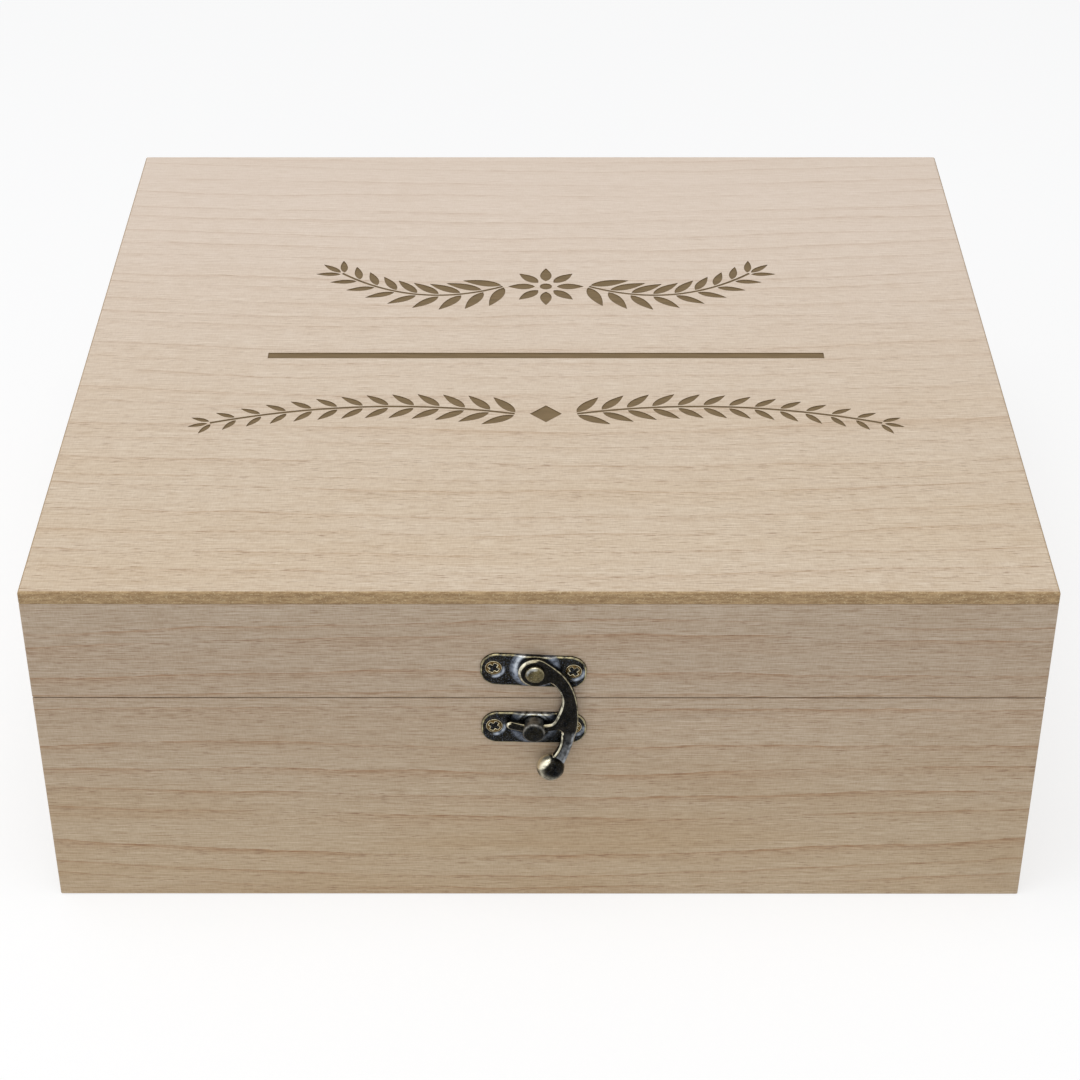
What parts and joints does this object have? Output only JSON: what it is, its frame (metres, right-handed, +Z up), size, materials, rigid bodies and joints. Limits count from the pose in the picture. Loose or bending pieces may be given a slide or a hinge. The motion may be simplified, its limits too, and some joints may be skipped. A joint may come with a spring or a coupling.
{
  "type": "keepsake box",
  "caption": "Flat wooden keepsake box with a lid on rear hinges, held shut by an antique brass swing latch.",
  "frame": {"origin": "on the table, under the middle of the wooden box, at the centre of the bottom board's underside", "axes": "+X to the right as seen from the front, +Y from the latch towards the hinges, +Z up"},
  "size_m": [0.27, 0.2666, 0.105],
  "materials": {
    "wood_frame": "sanded, unfinished pale wood",
    "wood_board": "sanded, unfinished pale wood",
    "antique_brass": "dark antique patina, worn bright along the edges",
    "worn_brass": "antique brass, rubbed",
    "screw_brass": "yellow brass plating"
  },
  "bodies": {
    "base": {"base_front_panel": "wood_frame", "base_back_panel": "wood_frame", "base_left_panel": "wood_frame", "base_right_panel": "wood_frame", "base_bottom_panel": "wood_board", "latch_lower_plate": "antique_brass", "latch_lower_screws": "screw_brass", "latch_peg": "antique_brass", "hinge_left_base_leaf": "antique_brass", "hinge_left_pin": "antique_brass", "hinge_left_base_screws": "screw_brass", "hinge_right_base_leaf": "antique_brass", "hinge_right_pin": "antique_brass", "hinge_right_base_screws": "screw_brass"},
    "lid": {"lid_top_panel": "wood_board", "lid_front_rail": "wood_frame", "lid_back_rail": "wood_frame", "lid_left_rail": "wood_frame", "lid_right_rail": "wood_frame", "latch_upper_plate": "antique_brass", "latch_upper_screws": "screw_brass", "latch_rivet": "worn_brass", "hinge_left_lid_leaf": "antique_brass", "hinge_left_lid_screws": "screw_brass", "hinge_right_lid_leaf": "antique_brass", "hinge_right_lid_screws": "screw_brass"},
    "latch_arm": {"latch_arm": "antique_brass"}
  },
  "joints": [
    {"name": "lid_hinge", "type": "hinge", "parent": "base", "child": "lid", "pos_m": [0, 0.1296, 0.07015], "axis": [-1, 0, 0], "range_deg": [0, 180]},
    {"name": "latch_swing", "type": "hinge", "parent": "lid", "child": "latch_arm", "pos_m": [-0.001, -0.1275, 0.08095], "axis": [0, -1, 0], "range_deg": [0, 300]}
  ]
}
